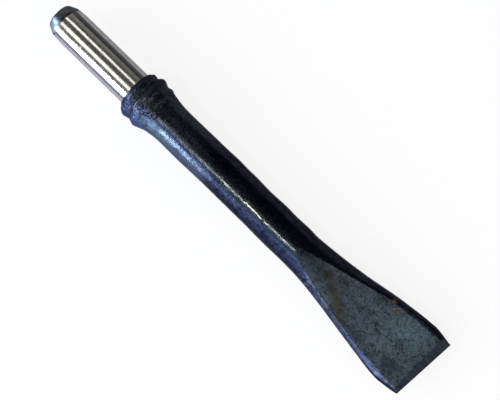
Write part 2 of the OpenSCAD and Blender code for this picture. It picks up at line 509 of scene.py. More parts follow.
# %% The grid
SIDE_COLUMNS, FACE_COLUMNS = 68, 52
HALF_RING = SIDE_COLUMNS + FACE_COLUMNS
RING = 2 * HALF_RING
SHIFT_LEN = 24.0
STATIONS = {
    "collar_lip": (SEAT_T, LIP_END, 0.30),
    "collar_ring": (LIP_END, RING_END, 0.30),
    "collar_shoulder": (RING_END, COLLAR_LEN, 0.32),
    "flared_neck": (COLLAR_LEN, NECK_END, 0.40),
    "forged_shaft": (NECK_END, FACE_START, 0.50),
    "blade_root": (FACE_START, ROOT_END, 0.46),
    "spade_blade": (ROOT_END, BEVEL_START, 0.46),
    "cutting_bevel": (BEVEL_START, WORKING_LEN, 0.25),
}


def grid_rows():
    """All stations from the lip to the edge, and the first and last row of each zone."""
    rows, spans = [np.array([SEAT_T])], {}
    count = 1
    for name, (x_from, x_to, pitch) in STATIONS.items():
        steps = math.ceil((x_to - x_from) / pitch)
        rows.append(np.linspace(x_from, x_to, steps + 1)[1:])
        spans[name] = (count - 1, count - 1 + steps)
        count += steps
    return np.concatenate(rows), spans


def grid_turns(x):
    """The turn of each column at each station: half a ring is one side, then one face."""
    even = math.pi / 2 * SIDE_COLUMNS / HALF_RING
    first = crease_turn(np.full_like(x, FACE_START + 0.01))
    before = even + (first - even) * rise(x, FACE_START - SHIFT_LEN, FACE_START)
    side = np.where(x < FACE_START, before, crease_turn(np.maximum(x, FACE_START)))[:, None]
    along_side = np.arange(SIDE_COLUMNS) / SIDE_COLUMNS
    along_face = np.arange(FACE_COLUMNS) / FACE_COLUMNS
    half = np.hstack([side * (2 * along_side - 1), side + (math.pi - 2 * side) * along_face])
    return np.hstack([half, half + math.pi])


stations, zone_rows = grid_rows()
turns = grid_turns(stations)
station_grid = np.repeat(stations[:, None], RING, axis=1)
plain_points = forging_point(station_grid, turns)
print("grid of", plain_points.shape[0], "rows and", RING, "columns")

# %% [markdown]
# ## Marks of the hammer
#
# A forging is never as smooth as its formula. Hammered steel has shallow dents a
# centimetre across, the scale that flaked off left pits and low plateaus, and the collar
# is crumbly where steel was pushed over steel. All of these are heights that are added
# along the surface's own direction. They come from one kind of noise, at several sizes.

# %% Noise on a lattice


def lattice_noise(points, pitch, seed):
    """Smooth noise from -1 to 1. Space is cut into cubes of the given pitch, every corner gets
    a fixed value from its own numbers, and a point blends the eight corners round it."""
    scaled = points / pitch
    cell = np.floor(scaled).astype(np.int64)
    part = ease(scaled - cell)
    total = np.zeros(points.shape[:-1])
    for corner in np.ndindex(2, 2, 2):
        at = cell + np.array(corner)
        mixed = at[..., 0] * 73856093 ^ at[..., 1] * 19349663 ^ at[..., 2] * 83492791 ^ seed * 2654435
        mixed = (mixed & 0x7FFFFFFF) * 48271 & 0x7FFFFFFF
        mixed = (mixed ^ mixed >> 13) * 69621 & 0x7FFFFFFF
        value = (mixed >> 8 & 0xFFFF) / 32767.5 - 1
        total += value * np.prod(np.where(corner, part, 1 - part), axis=-1)
    return total


def ridges(points, pitch, seed):
    """Narrow crests where the noise passes through zero: one minus its size, cubed."""
    return (1 - np.abs(lattice_noise(points, pitch, seed))) ** 3


def layered_noise(points, pitch, seed, layers=3):
    """Noise at the pitch, plus finer layers, each at half the pitch and half the height."""
    sizes = 0.5 ** np.arange(layers)
    parts = [s * lattice_noise(points, pitch * s, seed + i) for i, s in enumerate(sizes)]
    return sum(parts) / sizes.sum()


def surface_normals(points):
    """Outward directions on a grid whose columns close round: the cross product of the step to
    the next column and the step to the next row, made one unit long."""
    round_step = np.roll(points, -1, axis=1) - np.roll(points, 1, axis=1)
    along_step = np.gradient(points, axis=0)
    outward = np.cross(round_step, along_step)
    return outward / np.linalg.norm(outward, axis=-1, keepdims=True)


print("the noise at one place:", round(float(lattice_noise(np.array([1.0, 2.0, 3.0]), 2.5, 7)), 3))

# %% [markdown]
# Each zone carries its own marks, and a weight fades them in and out along the bit, so
# no mark stops at the line between two zones. The first row keeps its plain place,
# because the flat seat is joined on there. In the functions below, the number before a
# noise is its height, and the numbers inside it are its pitch, both in millimetres, and a
# seed that makes it differ from the others.

# %% Share of the flat faces
FACE_FADE = 0.9


def face_share(x, q, shake=0.0):
    """1 on the blade's two flat faces and 0 on its round sides, eased over a narrow strip that a
    shake can move to and fro."""
    turn = np.abs((q + np.pi / 2) % np.pi - np.pi / 2)
    over = (turn - crease_turn(np.maximum(x, FACE_START))) * BAR_R / FACE_FADE + shake
    return np.where(x < FACE_START, 0.0, ease(over)) * rise(x, FACE_START + 1, FACE_START + 16)


print("faces cover", round(100 * float(face_share(station_grid, turns).mean())), "% of the grid")

# %% [markdown]
# No two blows fall alike. Where the bit's outline has one certain lump or hollow, a
# single bell puts it there. Noise couldn't do that, because it doesn't let a place be
# chosen.

# %% Single lumps
LUMPS = [
    # station, turn in degrees, reach along X, reach round in degrees, height
    (3.6, 12, 2.4, 34, -1.95),
    (9.8, 4, 2.2, 26, -0.10),
    (16.6, 2, 1.8, 24, 0.45),
    (13.0, -4, 0.9, 22, -0.25),
    (13.4, 172, 2.6, 36, 0.75),
    (9.4, 178, 1.0, 24, 0.55),
    (77.0, 0, 6.0, 24, 0.22),
    (86.6, 1, 4.5, 24, -0.28),
    (117.6, 5, 6.5, 24, 0.22),
    (128.8, 6, 4.5, 24, -0.28),
    (139.0, 8, 4.0, 24, 0.24),
    (147.4, 5, 3.5, 24, -0.25),
    (14.5, 0, 2.6, 26, -0.50),
    (18.0, 178, 2.0, 26, 0.50),
    (64.0, 0, 10.0, 30, 0.30),
    (84.0, 180, 62.0, 50, -0.32),
    (186.0, 0, 15.0, 34, -0.62),
    (222.0, 0, 25.0, 34, -0.72),
    (229.0, 180, 9.0, 30, 0.35),
]


def local_lumps(x, q):
    """Single lumps and hollows: each is a bell along X times a bell round the axis."""
    total = np.zeros_like(x)
    for station, turn, along, round_, height in LUMPS:
        total += height * bell(x - station, along) * bell(turn_past(q, turn), math.radians(round_))
    return total


print("single lumps:", len(LUMPS))

# %% [markdown]
# The rest is texture, and each kind of surface has its own. The collar is lumpy and
# crumbly, the bar has facets, flaked scale and pits, and the beaten faces have dents and
# a net of wrinkles. Each is a sum of noises at a few sizes.

# %% Marks of the collar, the bar and the faces


def collar_marks(x, q, p):
    """Lumps a few millimetres across, crumbs on them, and a raised crumbly lip along the fold."""
    weight = rise(x, SEAT_T, 2.7) * (1 - rise(x, 19, 29))
    d = x - fold_at(q)
    lumps = 0.26 * lattice_noise(p, 3.4, 11) + 0.19 * layered_noise(p, 1.6, 12, 2)
    crumbs = 0.14 * ridges(p, 1.4, 14) - 0.05
    lip = 0.34 * bell(d - 1.0, 0.5) * (0.6 + 0.7 * lattice_noise(p, 1.8, 15))
    crease = -0.35 * bell(d, 0.30) * (1 + 0.5 * lattice_noise(p, 2.5, 16))
    filled = 0.75 * bell(d, FOLD_W) * ease((np.sin(q) + 0.1) / 0.6)
    return weight * (lumps + crumbs + lip + crease + filled)


def bar_marks(x, q, p):
    """Wide shallow facets, low plateaus of scale with small steps between them, and pits."""
    weight = rise(x, 20, 32) * (1 - face_share(x, q))
    facets = 0.09 * lattice_noise(p * [0.6, 1, 1], 9.0, 21) + 0.035 * lattice_noise(p, 3.6, 22)
    plateaus = 0.035 * ease(0.5 + 3.0 * layered_noise(p * [0.7, 1, 1], 2.6, 23))
    pits = -0.07 * np.maximum(0, lattice_noise(p, 1.5, 25) - 0.45)
    grain = 0.012 * layered_noise(p, 0.9, 26, 2)
    creped = bell(x - 44, 24) * bell(np.degrees(q) - 100.0, 20.0)
    crepe = creped * (0.050 * ridges(p, 1.9, 61) + 0.032 * ridges(p, 1.1, 62))
    return weight * (facets + plateaus + pits + grain + crepe)


def face_marks(x, q, p):
    """Shallow dents, a net of low wrinkles, and small pits on the two struck faces."""
    weight = face_share(x, q)
    dents = 0.12 * lattice_noise(p, 13.0, 31) + 0.05 * lattice_noise(p, 6.0, 32)
    wrinkles = 0.045 * ridges(p, 2.4, 33) + 0.035 * ridges(p, 1.3, 34)
    pits = -0.06 * np.maximum(0, lattice_noise(p, 1.7, 35) - 0.5)
    calm = 1 - 0.7 * rise(x, BEVEL_START - 0.4, BEVEL_START + 0.4)
    return weight * calm * (dents + wrinkles + pits)


# %% [markdown]
# A broken bright line along the bar's top, the lip of the fold and a few single places on the blade's side
# are painted highlights and glints, laid where the lamps reflect. One share serves twice. It lifts the
# surface a little into a small ridge, and it tells the finish where to paint the pale highlight and where to
# be smoother.

# %% The painted line of highlight
BURNISH_HEIGHT = 0.09
# Single painted glints on the blade's -Y side, where the window lamps reflect.
GLINTS = [
    # centre in mm, size in mm, strength
    ((230.6, -22.0, 3.6), 1.3, 0.70),
    ((238.5, -21.0, 3.4), 1.1, 0.45),
    ((243.5, -20.4, 3.0), 0.9, 0.35),
    ((222.0, -21.8, 4.2), 1.0, 0.35),
    ((172.0, -10.6, 10.2), 0.7, 0.40),
    ((176.0, -11.6, 9.6), 0.8, 0.55),
    ((181.5, -13.2, 8.8), 0.9, 0.65),
    ((188.0, -15.6, 7.9), 0.7, 0.35),
]


def strongest_spot(p, spots):
    """At each place, the greatest of the spots, each a bell round its centre."""
    total = np.zeros(p.shape[:-1])
    for centre, size, strength in spots:
        total = np.maximum(total, strength * bell(np.linalg.norm(p - np.array(centre), axis=-1), size))
    return total


def rubbed_glint_share(x, q, p):
    """1 where the skin is rubbed and a highlight is painted: a broken line along the bar's top, the lip of
    the fold, and a few single glints on the blade's side."""
    turn = np.degrees(turn_past(q, 90))
    off = turn - 5.0 + 2.0 * rise(x, 118, 130) + 0.8 * lattice_noise(p, 3.0, 30)
    along = rise(x, 75, 82) * (1 - 0.9 * bell(x - 123.5, 2.2)) * (1 - rise(x, 144, 149))
    along = along * (0.48 + 0.46 * bell(x - 110, 11))
    thin = 1 - 0.35 * rise(x, 119, 127)
    faint = 0.10 * rise(x, 48, 54) * (1 - rise(x, 70, 76))
    solid = 0.30 * bell(x - 106.0, 16.0)
    broken = ease(0.72 + solid + 0.55 * lattice_noise(p, 1.9, 27) + 0.35 * lattice_noise(p, 6.0, 28))
    line = np.minimum(1, 1.25 * bell(off, 4.6 * thin)) * (along + faint) * broken
    fold = 0.25 * bell(x - fold_at(q) - 1.0, 0.5) * bell(turn - 22.0, 34.0)
    fold = fold * ease(0.5 + lattice_noise(p, 1.5, 29)) * (1 - rise(x, 19, 23))
    return np.maximum(np.maximum(line, fold), strongest_spot(p, GLINTS))


# The share of painted highlight and glint, which also raises a small ridge.
rubbed_glint = rubbed_glint_share(station_grid, turns, plain_points)
print("rubbed at its brightest:", round(float(rubbed_glint.max()), 2))

# %% [markdown]
# All marks are heights, so they add up, and one step along the surface's own direction
# applies them. The directions are worked out again afterwards, because they are what the
# light shows.

# %% Add the marks up


def end_fade(x):
    """Holds the marks back at the first row and at the cutting edge."""
    return rise(x, SEAT_T, 1.8) * (1 - 0.8 * rise(x, WORKING_LEN - 1.5, WORKING_LEN))


marks = local_lumps(station_grid, turns) + BURNISH_HEIGHT * rubbed_glint
for marks_of in (collar_marks, bar_marks, face_marks):
    marks = marks + marks_of(station_grid, turns, plain_points)
marks = marks * end_fade(station_grid)
forged_points = plain_points + surface_normals(plain_points) * marks[..., None]
forged_normals = surface_normals(forged_points)
print("marks from", round(marks.min(), 2), "to", round(marks.max(), 2), "mm")

# %% [markdown]
# Some marks are colour and not shape: rust where water stood, and paler and darker clouds
# on the beaten face. They lie at set places, so each is a number per grid point, made from
# soft spots. A material reads the number and roughens its outline with fine noise.

# %% Where rust and clouds lie
RUST_SPOTS = [
    # centre in mm, size in mm, strength
    ((215.0, 14.8, 6.0), 1.9, 1.6),
    ((208.8, 18.2, 6.2), 1.9, 1.4),
    ((202.3, 14.6, 7.4), 2.3, 1.00),
    ((11.4, -2.0, 16.4), 2.4, 0.28),
    ((191.9, -11.2, 8.6), 2.2, 1.05),
    ((187.5, -8.4, 9.0), 2.2, 0.75),
    ((177.0, -1.0, 10.2), 2.4, 0.70),
    ((152.6, 4.2, 12.8), 0.9, 0.5),
]
STREAK_FROM, STREAK_TO, STREAK_SIZE = np.array([170.5, 3.0]), np.array([192.4, -11.8]), 3.2
CLOUDS = [
    # centre along X and Y in mm, reach along each, how much paler or darker
    ((229.0, 11.5), (15.0, 8.5), 0.95),
    ((219.0, 1.0), (9.0, 7.0), 0.50),
    ((194.0, 6.0), (11.0, 6.0), 0.15),
    ((210.2, 0.6), (1.4, 1.2), -1.3),
    ((213.6, -2.1), (1.8, 1.2), -1.3),
    ((233.8, -11.6), (6.0, 3.4), -0.85),
    ((228.0, 1.0), (5.0, 4.0), -0.55),
    ((205.0, -14.0), (18.0, 3.2), -0.55),
    ((160.0, 2.0), (14.0, 9.0), -0.80),
    ((182.0, 6.0), (4.0, 4.0), -0.40),
    ((168.5, 2.0), (2.6, 2.0), -0.80),
    ((176.5, -2.6), (3.0, 1.6), -0.80),
    ((186.0, -4.6), (3.2, 1.8), -0.70),
    ((193.0, -13.2), (4.0, 1.4), -0.60),
    ((198.0, 2.0), (13.0, 16.0), -0.22),
    ((243.0, 2.0), (3.0, 14.0), -0.25),
    ((245.9, 2.0), (1.1, 24.0), -1.20),
]


def rust_share(p):
    """The strongest of the soft spots, and a streak that gains strength along a straight line."""
    line = STREAK_TO - STREAK_FROM
    share = np.clip((p[..., :2] - STREAK_FROM) @ line / (line @ line), 0, 1)
    away = np.linalg.norm(p[..., :2] - STREAK_FROM - share[..., None] * line, axis=-1)
    streak = (0.80 + 0.20 * share**2) * bell(away, STREAK_SIZE) * ease(p[..., 2] / 2)
    return np.maximum(strongest_spot(p, RUST_SPOTS), streak)


def pale_share(p):
    """The sum of the clouds, each a bell along X times a bell along Y, on the upper face alone."""
    total = np.zeros(p.shape[:-1])
    for (x, y), (along, across), amount in CLOUDS:
        total += amount * bell(p[..., 0] - x, along) * bell(p[..., 1] - y, across)
    return total * ease(p[..., 2] / 2)


print("rust spots:", len(RUST_SPOTS), "and clouds:", len(CLOUDS))

# %% [markdown]
# ## From grids to closed pieces
#
# A zone is a band of the grid's rows, closed at both ends by a flat fan round the axis.
# The normals are taken from the whole surface before it is cut, and handed to the mesh
# as custom normals. That way the light runs on across the line between two zones, as it
# does on the real bit, which has no line there at all.

# %% Build a closed piece


def band_faces(rows, columns):
    """Four-cornered faces between neighbouring rows and columns, the last column joined to the first."""
    row = np.arange(rows - 1)[:, None] * columns
    here = np.arange(columns)[None, :]
    after = (here + 1) % columns
    quads = np.stack([row + here, row + after, row + after + columns, row + here + columns], axis=-1)
    return quads.reshape(-1, 4)


def fan_faces(ring_start, centre, columns, forward):
    """Triangles from a ring to its centre point, facing along +X or along -X."""
    here = np.arange(columns) + ring_start
    after = (np.arange(columns) + 1) % columns + ring_start
    first, second = (here, after) if forward else (after, here)
    return np.stack([np.full(columns, centre), first, second], axis=-1)


def build_piece(name, points, normals, caps):
    """A closed mesh from a band of rows in millimetres. The normals are per point, and each cap
    is a pair: the X of its centre and whether it faces +X."""
    rows, columns = points.shape[:2]
    flat_points = points.reshape(-1, 3)
    quads = band_faces(rows, columns)
    corner_normals = [normals.reshape(-1, 3)[quads].reshape(-1, 3)]
    faces, centres = quads.tolist(), []
    for centre_x, forward in caps:
        ring_start = (rows - 1) * columns if forward else 0
        fan = fan_faces(ring_start, len(flat_points) + len(centres), columns, forward)
        faces += fan.tolist()
        centres.append([centre_x, 0.0, 0.0])
        corner_normals.append(np.tile([1.0 if forward else -1.0, 0.0, 0.0], (3 * columns, 1)))
    mesh = bpy.data.meshes.new(name)
    mesh.from_pydata((np.vstack([flat_points, centres]) * MM).tolist(), [], faces)
    mesh.shade_smooth()
    mesh.normals_split_custom_set(np.vstack(corner_normals).tolist())
    piece = into_scene(name, mesh)
    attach(piece, "root")
    return piece


# %% [markdown]
# The scale finish has to know where the beaten face ends, where highlights and glints are painted on rubbed
# steel, and where rust and clouds lie. Each of these is one number per point of the grid, and goes into the
# mesh under its name, because a finish can read such a number back.

# %% Numbers for the finishes


def store(piece, label, values):
    """Keeps one number per point in the mesh, for the materials. Cap centres get zero."""
    attribute = piece.data.attributes.new(label, "FLOAT", "POINT")
    full = np.zeros(len(piece.data.vertices), np.float32)
    full[: values.size] = values.ravel()
    attribute.data.foreach_set("value", full)


def ragged_face(x, q, p):
    """The face's share for its colour: on the -Y side the skin creeps over the crease in tongues, and
    on the +Y side, towards the edge, the slate keeps back from the crease."""
    shake = 1.5 * layered_noise(p, 1.9, 38, 2) * ease(-p[..., 1] / 4) + 0.5 * lattice_noise(p, 1.2, 39)
    crease = p[:, SIDE_COLUMNS, 1][:, None]
    inset = 1.9 * rise(x, 199, 217) + 0.5 * lattice_noise(p, 2.2, 40)
    far = ease((crease - inset - p[..., 1]) / FACE_FADE + 0.5)
    return face_share(x, q, shake) * (1 - 0.78 * (1 - far) * rise(x, 190, 200))


masks = {
    "face_share": ragged_face(station_grid, turns, plain_points),
    "rubbed_glint": rubbed_glint,
    "rust": rust_share(plain_points),
    "pale": pale_share(plain_points),
}
print("numbers at each point:", list(masks))

# %% [markdown]
# The forging is cut where one step of the work ends and the next starts. The lip also
# takes in the short core of steel inside the seat's ring, so that the seat can be a true
# ring.

# %% Cut the forging into its zones


def forged_piece(name):
    """The band of the forging between a zone's two stations, with a flat fan at each end."""
    first, last = zone_rows[name]
    rows = slice(first, last + 1)
    x_from, x_to, _ = STATIONS[name]
    points, normals = forged_points[rows], forged_normals[rows]
    if name == "collar_lip":
        core = np.stack([np.zeros(RING), SHANK_R * np.cos(turns[0]), SHANK_R * np.sin(turns[0])], axis=-1)
        shifted = core + [SEAT_T, 0, 0]
        outward = core / SHANK_R
        points = np.concatenate([[core, shifted], points])
        normals = np.concatenate([[outward, outward], normals])
        x_from = 0.0
    piece = build_piece(name, points, normals, [(x_from, False), (x_to, True)])
    extra = 2 if name == "collar_lip" else 0
    for label, grid in masks.items():
        store(piece, label, np.vstack([np.zeros((extra, RING)), grid[rows]]))
    return piece


pieces = {name: forged_piece(name) for name in STATIONS}
print({name: len(piece.data.polygons) for name, piece in pieces.items()})

# %% [markdown]
# ## The turned pieces
#
# The shank is ground on a lathe's centres, so it is a profile spun round the axis: pairs
# of a station and a radius. The struck end was left unground and chamfered, and its rim
# is rounded off. The seat is a ring whose flat front stops the bit against the hammer.

# %% Profiles
TURNED_COLUMNS = 180
POLE_R, SEAT_CHAMFER = 0.4, 0.15
SHANK_STEP, SEAT_STEP, SIDE_STEP = 0.5, 0.3, 0.4
LEAD_R, CONE_END = SHANK_R - LEAD_STEP, CONE_LEN - SHANK_LEN


def spin(profile):
    """Rings of points from pairs of a station and a radius, one turn from +Y towards +Z each."""
    q = np.arange(TURNED_COLUMNS) * 2 * np.pi / TURNED_COLUMNS
    x, r = profile[:, :1], profile[:, 1:]
    return np.stack([x + 0 * q, r * np.cos(q), r * np.sin(q)], axis=-1)


def fine_steps(corners, pitch):
    """The same broken line, with its stretches cut to the pitch or finer."""
    parts = [corners[:1]]
    for a, b in zip(corners[:-1], corners[1:]):
        steps = max(1, math.ceil(np.linalg.norm(b - a) / pitch))
        parts.append(a + (b - a) * np.linspace(0, 1, steps + 1)[1:, None])
    return np.vstack(parts)


def shank_profile():
    """The ground length: a short run-up from the dark end, then the full radius."""
    corners = [[CONE_END, LEAD_R], [CONE_END + LEAD_LEN, SHANK_R], [0.0, SHANK_R]]
    return fine_steps(np.array(corners), SHANK_STEP)


def struck_profile():
    """The flat struck face, its rounded rim, and the chamfered side."""
    slope = math.atan((LEAD_R - STRUCK_R) / CONE_LEN)
    arc = np.linspace(0, math.pi / 2 - slope, 9)
    rim_x = RIM_ROUND * (1 - np.cos(arc)) - SHANK_LEN
    rim = np.stack([rim_x, STRUCK_R - RIM_ROUND * (1 - np.sin(arc))], axis=-1)
    flat = np.array([[-SHANK_LEN, POLE_R], [-SHANK_LEN, STRUCK_R - RIM_ROUND]])
    side = np.array([rim[-1], [CONE_END, LEAD_R]])
    return np.vstack([fine_steps(flat, SHANK_STEP)[:-1], rim[:-1], fine_steps(side, SIDE_STEP)])


print("points in the two profiles:", len(shank_profile()), len(struck_profile()))

# %% Spin the shank and the struck end


def turned_piece(name, profile, marks_for):
    """Spins a profile, adds its marks along the normals, and closes both ends."""
    points = spin(profile)
    points = points + surface_normals(points) * marks_for(points)[..., None]
    caps = [(profile[0, 0], False), (profile[-1, 0], True)]
    return build_piece(name, points, surface_normals(points), caps)


def shank_marks(p):
    """Very shallow ripples left by the grinding wheel."""
    return 0.0018 * lattice_noise(p * [1, 0.02, 0.02], 1.1, 41)


def struck_marks(p):
    """Small nicks and flats that the hammer's piston left on the rim."""
    fade = ease(CONE_END - p[..., 0])
    return fade * (0.05 * lattice_noise(p, 2.4, 42) - 0.12 * np.maximum(0, lattice_noise(p, 1.6, 43) - 0.5))


pieces["ground_shank"] = turned_piece("ground_shank", shank_profile(), shank_marks)
pieces["striking_end"] = turned_piece("striking_end", struck_profile(), struck_marks)
print({name: len(pieces[name].data.polygons) for name in ("ground_shank", "striking_end")})

# %% [markdown]
# The seat is a flat ring on the shank. It has no caps: its bore is one band of faces from
# the rear's inner rim to the front's, so the ring is closed all round.

# %% The seat


def seat_piece():
    """A square ring: out along the front, up the rim, back along the rear and down the bore."""
    corners = [[0, SHANK_R], [0, SEAT_R - SEAT_CHAMFER], [SEAT_CHAMFER, SEAT_R], [SEAT_T, SEAT_BACK_R],
               [SEAT_T, SHANK_R]]
    profile = fine_steps(np.array(corners, float), SEAT_STEP)
    points = spin(profile)
    rows = len(profile)
    quads = band_faces(rows, TURNED_COLUMNS)
    bore = np.arange(TURNED_COLUMNS)
    after = (bore + 1) % TURNED_COLUMNS
    last = (rows - 1) * TURNED_COLUMNS
    inner = np.stack([last + bore, last + after, after, bore], axis=-1)
    mesh = bpy.data.meshes.new("collar_seat")
    mesh.from_pydata((points.reshape(-1, 3) * MM).tolist(), [], np.vstack([quads, inner]).tolist())
    piece = into_scene("collar_seat", mesh)
    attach(piece, "root")
    return piece


pieces["collar_seat"] = seat_piece()
print("faces of the seat:", len(pieces["collar_seat"].data.polygons))

# %% [markdown]
# ## Finishes
#
# Steel that cools in air grows a skin of blue-black scale. It is darker than paint, but it
# reflects like a metal, so its colour is the tint of its reflections. The scale is thick
# and satin where nothing touched it, paler and greyer where the hammer's face beat it
# thin, and brown where damp got under it. Each finish mixes the same few effects.

# %% Mottle and wrinkles


def noise(tree, where, scale, layers, strength=0.5, distortion=0.0):
    """A Noise Texture's value: its scale, the number of finer layers, their strength and its distortion."""
    inputs = {"Vector": where, "Scale": scale, "Detail": layers, "Roughness": strength}
    inputs["Distortion"] = distortion
    return add_node(tree, "ShaderNodeTexNoise", inputs=inputs).outputs[0]


def make_mottle_group():
    """Three sizes of cloudy noise, each stretched to run from 0 to 1: patches, grain and speckle."""
    group, start, end = new_group(
        "mottle", {"Vector": (0.0, 0.0, 0.0), "Patch Scale": 120.0, "Grain Scale": 900.0},
        {"Patches": float, "Grain": float, "Speckle": float},
    )
    here, wide, fine = (start.outputs[label] for label in ("Vector", "Patch Scale", "Grain Scale"))
    finest = times(group, fine, 1.9)
    made = {
        "Patches": remap(group, noise(group, here, wide, 6.0, 0.62, 0.35), 0.34, 0.68),
        "Grain": remap(group, noise(group, here, fine, 3.0, 0.7), 0.30, 0.72),
        "Speckle": remap(group, noise(group, here, finest, 1.0), 0.34, 0.66),
    }
    for label, socket in made.items():
        group.links.new(socket, end.inputs[label])
    return group


def make_wrinkle_group():
    """A net of thin meandering lines: noise passes through its middle value along lines, and the
    distance from that value, taken from 1, is a crest. Two sizes of net are laid over each other."""
    group, start, end = new_group("wrinkles", {"Vector": (0.0, 0.0, 0.0), "Scale": 300.0}, {"Lines": float})
    here, scale = start.outputs["Vector"], start.outputs["Scale"]
    crests = []
    for finer, layers in ((1.0, 2.0), (2.1, 1.0)):
        value = noise(group, here, times(group, scale, finer), layers, 0.5, 0.8)
        away = calc(group, "ABSOLUTE", minus(group, value, 0.5))
        crests.append(remap(group, away, 0.0, 0.075, 1.0, 0.0))
    both = calc(group, "MAXIMUM", crests[0], times(group, crests[1], 0.8))
    group.links.new(both, end.inputs["Lines"])
    return group


mottle_group = make_mottle_group()
wrinkle_group = make_wrinkle_group()
print("cloudy effects:", mottle_group.name, wrinkle_group.name)

# %% [markdown]
# Two more effects have a place or a direction: a stain with a ragged outline, and the
# lines that a grinding wheel leaves. The lines are noise whose coordinates change slowly
# along them, so it draws out into streaks. That is cheaper and more even than drawing
# each line.

# %% Spots and lines


def make_spot_group():
    """A ragged spot: the distance from its centre, shaken by noise, falls from 1 to 0 at its size."""
    group, start, end = new_group(
        "ragged_spot",
        {"Vector": (0.0, 0.0, 0.0), "Centre": (0.0, 0.0, 0.0), "Size": 0.001, "Ragged": 0.5},
        {"Mask": float},
    )
    here, centre, size, ragged = (start.outputs[label] for label in ("Vector", "Centre", "Size", "Ragged"))
    away = add_node(group, "ShaderNodeVectorMath", {"operation": "DISTANCE"}, {0: here, 1: centre})
    share = calc(group, "DIVIDE", away.outputs["Value"], size)
    shake = times(group, minus(group, noise(group, here, 700.0, 3.0), 0.5), ragged, 3.0)
    group.links.new(remap(group, plus(group, share, shake), 0.45, 1.15, 1.0, 0.0), end.inputs["Mask"])
    return group


def make_line_group():
    """Fine parallel lines, and wider streaks: the place times the stretch, small along the lines, goes
    into the noise."""
    group, start, end = new_group(
        "grinding_lines", {"Vector": (0.0, 0.0, 0.0), "Stretch": (1.0, 0.02, 0.02), "Scale": 3000.0},
        {"Lines": float, "Streaks": float},
    )
    here, stretch, scale = (start.outputs[label] for label in ("Vector", "Stretch", "Scale"))
    squeezed = add_node(group, "ShaderNodeVectorMath", {"operation": "MULTIPLY"}, {0: here, 1: stretch})
    squeezed = squeezed.outputs[0]
    wide = noise(group, squeezed, times(group, scale, 0.12), 2.0)
    group.links.new(noise(group, squeezed, scale, 3.0, 0.6), end.inputs["Lines"])
    group.links.new(remap(group, wide, 0.3, 0.7), end.inputs["Streaks"])
    return group


spot_group = make_spot_group()
line_group = make_line_group()
print("effects with an outline:", spot_group.name, line_group.name)

# %% [markdown]
# A finish starts from one Principled shader. The helpers below make the material, its
# shader and its object coordinates, weigh the three noises of the mottle, and ease a value
# in or out between two places on the bit, so that each recipe only says what differs.

# %% Start a finish
EDGE_TINT, SHANK_EDGE_TINT = (0.43, 0.43, 0.44, 1.0), (0.62, 0.62, 0.74, 1.0)


def start_finish(name, metallic, edge_tint=EDGE_TINT):
    """A material with an empty tree, one Principled shader, and object coordinates in metres."""
    material = bpy.data.materials.new(name)
    material.use_nodes = True
    tree = material.node_tree
    tree.nodes.clear()
    inputs = {"Metallic": metallic, "Specular Tint": edge_tint}
    shader = add_node(tree, "ShaderNodeBsdfPrincipled", inputs=inputs)
    add_node(tree, "ShaderNodeOutputMaterial", inputs={"Surface": shader.outputs[0]})
    here = add_node(tree, "ShaderNodeTexCoord").outputs["Object"]
    return material, tree, shader, here


def finish_with(tree, shader, colour, rough, height, depth):
    """Wires the colour, the roughness, and a bump of the given depth in mm."""
    inputs = {"Strength": 1.0, "Distance": depth * MM, "Height": height}
    bump = add_node(tree, "ShaderNodeBump", inputs=inputs)
    tree.links.new(colour, shader.inputs["Base Color"])
    tree.links.new(rough, shader.inputs["Roughness"])
    tree.links.new(bump.outputs[0], shader.inputs["Normal"])


def rgb(red, green, blue):
    """A colour in linear light, as the shader takes it."""
    return (red, green, blue, 1.0)


def weigh(tree, mottle, weights, offset=0.0, clamp=False):
    """A weighted sum of the mottle's noises, plus an offset."""
    parts = [times(tree, mottle[label], weight) for label, weight in weights.items()]
    return plus(tree, *parts, offset, clamp=clamp)


def bands_along(tree, here, table):
    """The X, Y and Z of a place, and one eased ramp for each row of a table: its axis, two places in
    mm, the value before the first and the value after the second."""
    place = add_node(tree, "ShaderNodeSeparateXYZ", inputs={0: here}).outputs
    ramps = {label: remap(tree, place[axis], first * MM, last * MM, before, after)
             for label, (axis, first, last, before, after) in table.items()}
    return place, ramps


# %% [markdown]
# The scale finish serves the collar, the bar and the blade. Its skin blends across the Y axis from nearly
# black on the +Y side to a painted lit side on the -Y side, which faces the window lamps. That side is
# painted paler and bluer, so one side is lighter because of how the light falls, and it carries a painted
# cyan highlight and painted blue reflections. Each side is mottled. On top come the slate grey of the beaten
# faces, the painted highlights of the bright line and the glints, and the rust, each from the number that
# every mesh point carries. Rust isn't metal, so it also takes the shine away.

# %% Colours of the scale
SKIN_BLACK = (rgb(0.003, 0.004, 0.009), rgb(0.012, 0.015, 0.024))
# Painted lit side: the -Y half, which faces the window lamps, is painted in these blues and violets, paler
# than the black of the +Y half.
SKIN_BLUE = (rgb(0.022, 0.029, 0.058), rgb(0.082, 0.102, 0.165))
SKIN_VIOLET = (rgb(0.006, 0.009, 0.022), rgb(0.032, 0.038, 0.078))
# Painted highlight and painted reflection: cyan where the window lamp's reflection is brightest past the
# collar, and deep blue along the low edge near the collar.
SKIN_CYAN_HIGHLIGHT, SKIN_DEEP_REFLECTION = rgb(0.122, 0.182, 0.242), rgb(0.054, 0.089, 0.215)
# Partly dusty grey and partly a painted sheen on the dark skin by the collar, stronger towards the lit side.
SKIN_DUSTY_SHEEN = rgb(0.080, 0.097, 0.112)
SLATE = (rgb(0.008, 0.012, 0.018), rgb(0.086, 0.114, 0.136))
SLATE_LINE, SLATE_VIOLET = rgb(0.150, 0.192, 0.220), rgb(0.055, 0.062, 0.125)
SLATE_PALE, SLATE_DEEP = rgb(0.135, 0.198, 0.232), rgb(0.010, 0.014, 0.019)
